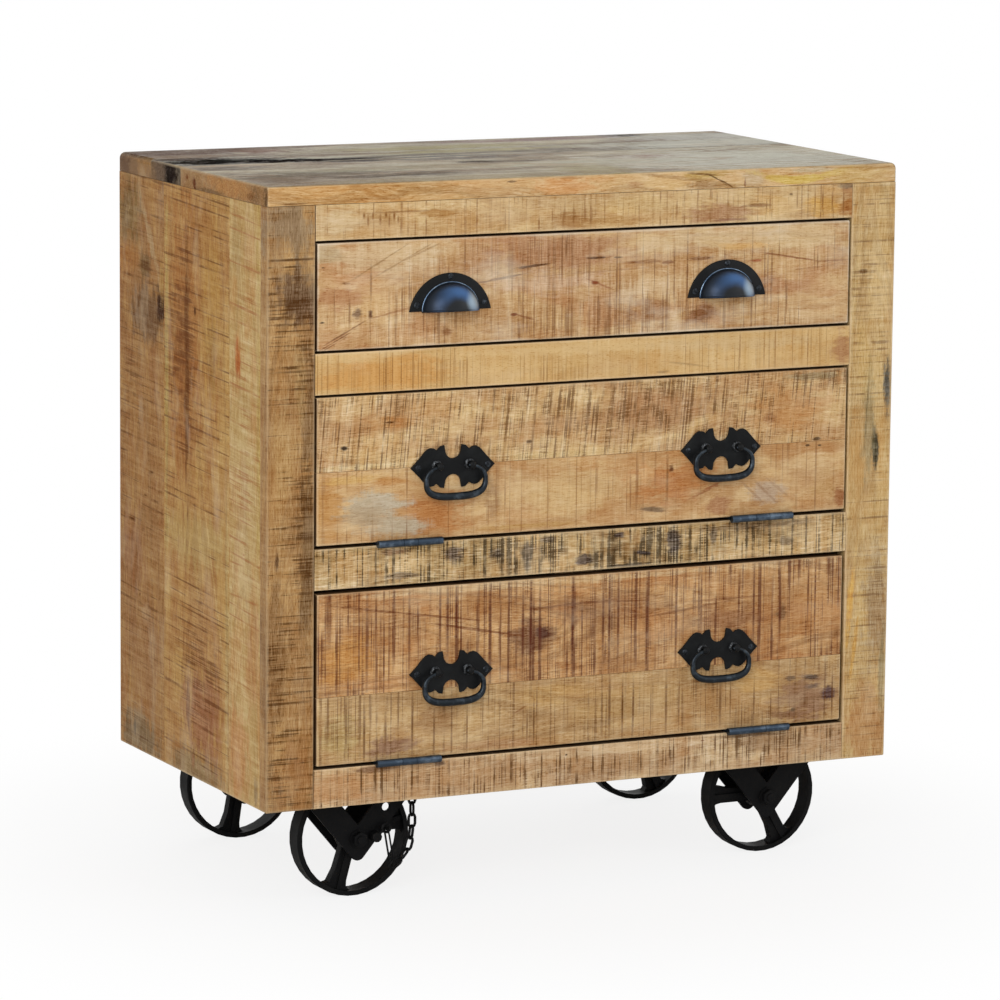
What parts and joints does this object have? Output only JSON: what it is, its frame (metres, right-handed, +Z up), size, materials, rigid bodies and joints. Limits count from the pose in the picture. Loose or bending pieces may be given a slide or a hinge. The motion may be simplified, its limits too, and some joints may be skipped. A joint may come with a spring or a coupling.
{
  "type": "rolling chest of drawers",
  "caption": "Wooden chest on iron wheels with a cup-pull drawer over fall-front flaps on bottom hinges, with bail handles and a chained pin that locks a wheel.",
  "frame": {"origin": "on the floor, under the middle of the chest's bounding box", "axes": "+X to the right seen from the front, +Y from the front to the back, +Z up"},
  "size_m": [0.8, 0.462, 0.8268],
  "materials": {
    "slab_wood": "weathered waxed mango wood with dark streaks",
    "frame_wood": "waxed mango wood with saw marks",
    "panel_wood": "waxed mango wood with saw marks",
    "inner_wood": "plain sawn wood",
    "cast_iron": "black satin cast iron",
    "black_hardware": "black satin paint",
    "hinge_steel": "worn gun-metal steel"
  },
  "bodies": {
    "carcass": {"top_slab": "slab_wood", "stile_left": "frame_wood", "stile_right": "frame_wood", "side_panel_left": "panel_wood", "side_panel_right": "panel_wood", "bottom_rail": "frame_wood", "lower_rail": "frame_wood", "upper_rail": "frame_wood", "top_rail": "frame_wood", "back_panel": "inner_wood", "floor_board": "inner_wood", "lower_shelf": "inner_wood", "upper_shelf": "inner_wood", "drawer_guide_left": "inner_wood", "drawer_guide_right": "inner_wood", "upper_flap_stop": "inner_wood", "lower_flap_stop": "inner_wood", "upper_flap_fixed_leaf_left": "hinge_steel", "upper_flap_fixed_leaf_right": "hinge_steel", "lower_flap_fixed_leaf_left": "hinge_steel", "lower_flap_fixed_leaf_right": "hinge_steel", "wheel_bracket_front_left": "cast_iron", "wheel_bracket_front_right": "cast_iron", "wheel_bracket_rear_left": "cast_iron", "wheel_bracket_rear_right": "cast_iron", "axle_bolt_front_left": "cast_iron", "axle_bolt_front_right": "cast_iron", "axle_bolt_rear_left": "cast_iron", "axle_bolt_rear_right": "cast_iron", "chain_staple": "black_hardware"},
    "drawer": {"drawer_front": "panel_wood", "drawer_side_left": "inner_wood", "drawer_side_right": "inner_wood", "drawer_bottom": "inner_wood", "drawer_back": "inner_wood", "cup_pull_left": "black_hardware", "cup_pull_right": "black_hardware"},
    "upper_flap": {"upper_flap_panel": "panel_wood", "upper_flap_moving_leaf_left": "hinge_steel", "upper_flap_moving_leaf_right": "hinge_steel", "upper_flap_plate_left": "black_hardware", "upper_flap_plate_right": "black_hardware"},
    "lower_flap": {"lower_flap_panel": "panel_wood", "lower_flap_moving_leaf_left": "hinge_steel", "lower_flap_moving_leaf_right": "hinge_steel", "lower_flap_plate_left": "black_hardware", "lower_flap_plate_right": "black_hardware"},
    "upper_flap_bail_left": {"upper_flap_bail_left": "black_hardware"},
    "upper_flap_bail_right": {"upper_flap_bail_right": "black_hardware"},
    "lower_flap_bail_left": {"lower_flap_bail_left": "black_hardware"},
    "lower_flap_bail_right": {"lower_flap_bail_right": "black_hardware"},
    "wheel_front_left": {"wheel_front_left": "cast_iron"},
    "wheel_front_right": {"wheel_front_right": "cast_iron"},
    "wheel_rear_left": {"wheel_rear_left": "cast_iron"},
    "wheel_rear_right": {"wheel_rear_right": "cast_iron"},
    "wheel_lock": {"lock_pin": "hinge_steel", "pin_loop": "black_hardware", "lock_chain": "black_hardware"}
  },
  "joints": [
    {"name": "drawer_slide", "type": "slide", "parent": "carcass", "child": "drawer", "axis": [0, -1, 0], "range_m": [0, 0.3]},
    {"name": "upper_flap_hinge", "type": "hinge", "parent": "carcass", "child": "upper_flap", "pos_m": [0, -0.2118, 0.41903], "axis": [1, 0, 0], "range_deg": [0, 90]},
    {"name": "lower_flap_hinge", "type": "hinge", "parent": "carcass", "child": "lower_flap", "pos_m": [0, -0.2118, 0.16703], "axis": [1, 0, 0], "range_deg": [0, 90]},
    {"name": "upper_flap_bail_left_swing", "type": "hinge", "parent": "upper_flap", "child": "upper_flap_bail_left", "pos_m": [-0.172, -0.2175, 0.50409], "axis": [-1, 0, 0], "range_deg": [-8, 185]},
    {"name": "upper_flap_bail_right_swing", "type": "hinge", "parent": "upper_flap", "child": "upper_flap_bail_right", "pos_m": [0.172, -0.2175, 0.50409], "axis": [-1, 0, 0], "range_deg": [-8, 185]},
    {"name": "lower_flap_bail_left_swing", "type": "hinge", "parent": "lower_flap", "child": "lower_flap_bail_left", "pos_m": [-0.172, -0.2175, 0.26728], "axis": [-1, 0, 0], "range_deg": [-8, 185]},
    {"name": "lower_flap_bail_right_swing", "type": "hinge", "parent": "lower_flap", "child": "lower_flap_bail_right", "pos_m": [0.172, -0.2175, 0.26728], "axis": [-1, 0, 0], "range_deg": [-8, 185]},
    {"name": "wheel_front_left_spin", "type": "hinge", "parent": "carcass", "child": "wheel_front_left", "pos_m": [-0.265, -0.13475, 0.06973], "axis": [0, 1, 0], "continuous": true},
    {"name": "wheel_front_right_spin", "type": "hinge", "parent": "carcass", "child": "wheel_front_right", "pos_m": [0.275, -0.12275, 0.06973], "axis": [0, 1, 0], "continuous": true},
    {"name": "wheel_rear_left_spin", "type": "hinge", "parent": "carcass", "child": "wheel_rear_left", "pos_m": [-0.265, 0.19175, 0.06973], "axis": [0, 1, 0], "continuous": true},
    {"name": "wheel_rear_right_spin", "type": "hinge", "parent": "carcass", "child": "wheel_rear_right", "pos_m": [0.275, 0.19175, 0.06973], "axis": [0, 1, 0], "continuous": true},
    {"name": "lock_pin_slide", "type": "slide", "parent": "carcass", "child": "wheel_lock", "axis": [0, -1, 0], "range_m": [0, 0.01]}
  ]
}
